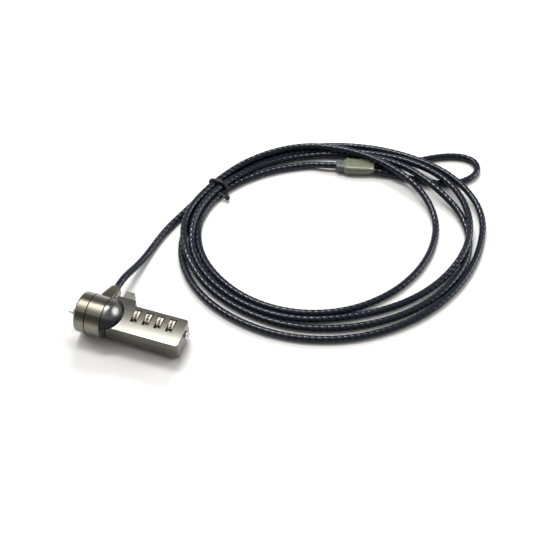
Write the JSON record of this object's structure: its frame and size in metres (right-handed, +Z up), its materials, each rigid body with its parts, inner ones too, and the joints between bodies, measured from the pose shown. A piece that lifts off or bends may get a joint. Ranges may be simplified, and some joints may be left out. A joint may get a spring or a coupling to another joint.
{
  "type": "laptop cable lock",
  "caption": "Combination cable lock with a barrel head, locking T-bar, number dials, push button and a tied coil of steel cable that ends in an eye.",
  "frame": {"origin": "middle of the body's flat underside, below the barrel axis", "axes": "+X along the barrel axis from the locking nose to the tail, +Y towards the push button and the cable lug, +Z up from the resting face"},
  "size_m": [0.2012, 0.1963, 0.022],
  "materials": {
    "black_washer": "matt",
    "brushed_cover": "fine brushed",
    "cable_jacket": "glossy clear-coated strand cable",
    "chrome_bar": "bright",
    "ferrule_metal": "dull swaged",
    "inner_steel": "plain",
    "number_wheel": "moulded, dark numerals",
    "polished_dome": "polished dark nickel",
    "satin_case": "satin nickel plated zinc",
    "sleeve_plastic": "milky translucent",
    "tie_plastic": "matt"
  },
  "bodies": {
    "cable_collar": {"swivel_collar": "satin_case", "cable_crimp": "inner_steel", "cable_lead": "cable_jacket", "cable_coil": "cable_jacket", "cable_eye": "cable_jacket", "eye_ferrule": "ferrule_metal", "ferrule_sleeve": "sleeve_plastic", "twist_tie": "tie_plastic"},
    "lock_body": {"main_housing": "satin_case", "bottom_cover": "satin_case", "top_cover": "brushed_cover", "dome_cap": "polished_dome", "barrel_hub": "inner_steel", "hub_screws": "inner_steel", "nose_cap": "satin_case", "guide_pins": "chrome_bar", "front_washer": "black_washer", "rear_washer": "black_washer", "spindle_bush": "inner_steel", "return_spring": "inner_steel", "dial_axle": "inner_steel", "dial_spacers": "inner_steel", "detent_spring": "inner_steel", "cover_screws": "inner_steel"},
    "push_button": {"push_button": "satin_case", "locking_bar": "inner_steel"},
    "spindle": {"t_bar_spindle": "chrome_bar", "drive_pinion": "inner_steel", "spindle_clip": "inner_steel"},
    "reset_screw": {"reset_screw": "chrome_bar"},
    "dial_1": {"number_wheel_1": "number_wheel", "code_ring_1": "inner_steel"},
    "dial_2": {"number_wheel_2": "number_wheel", "code_ring_2": "inner_steel"},
    "dial_3": {"number_wheel_3": "number_wheel", "code_ring_3": "inner_steel"},
    "dial_4": {"number_wheel_4": "number_wheel", "code_ring_4": "inner_steel"}
  },
  "joints": [
    {"name": "collar_swivel", "type": "hinge", "parent": "cable_collar", "child": "lock_body", "pos_m": [-0.0255, 0, 0.011], "axis": [1, 0, 0], "continuous": true},
    {"name": "button_push", "type": "slide", "parent": "lock_body", "child": "push_button", "axis": [0, -1, 0], "range_m": [0, 0.00314], "stiffness_N_per_m": 300, "springref_m": -0.002},
    {"name": "spindle_turn", "type": "hinge", "parent": "lock_body", "child": "spindle", "pos_m": [-0.016, 0, 0.011], "axis": [1, 0, 0], "range_deg": [0, 90]},
    {"name": "reset_turn", "type": "hinge", "parent": "lock_body", "child": "reset_screw", "pos_m": [0.021, 0.0031, 0.0099], "axis": [1, 0, 0], "range_deg": [0, 90]},
    {"name": "dial_1_turn", "type": "hinge", "parent": "lock_body", "child": "dial_1", "pos_m": [-0.0064, 0.0048, 0.0118], "axis": [1, 0, 0], "continuous": true},
    {"name": "dial_2_turn", "type": "hinge", "parent": "lock_body", "child": "dial_2", "pos_m": [0.0001, 0.0048, 0.0118], "axis": [1, 0, 0], "continuous": true},
    {"name": "dial_3_turn", "type": "hinge", "parent": "lock_body", "child": "dial_3", "pos_m": [0.0066, 0.0048, 0.0118], "axis": [1, 0, 0], "continuous": true},
    {"name": "dial_4_turn", "type": "hinge", "parent": "lock_body", "child": "dial_4", "pos_m": [0.0131, 0.0048, 0.0118], "axis": [1, 0, 0], "continuous": true}
  ],
  "couplings": [
    {"joint": "spindle_turn", "follows": "button_push", "rad_per_m": 500}
  ]
}
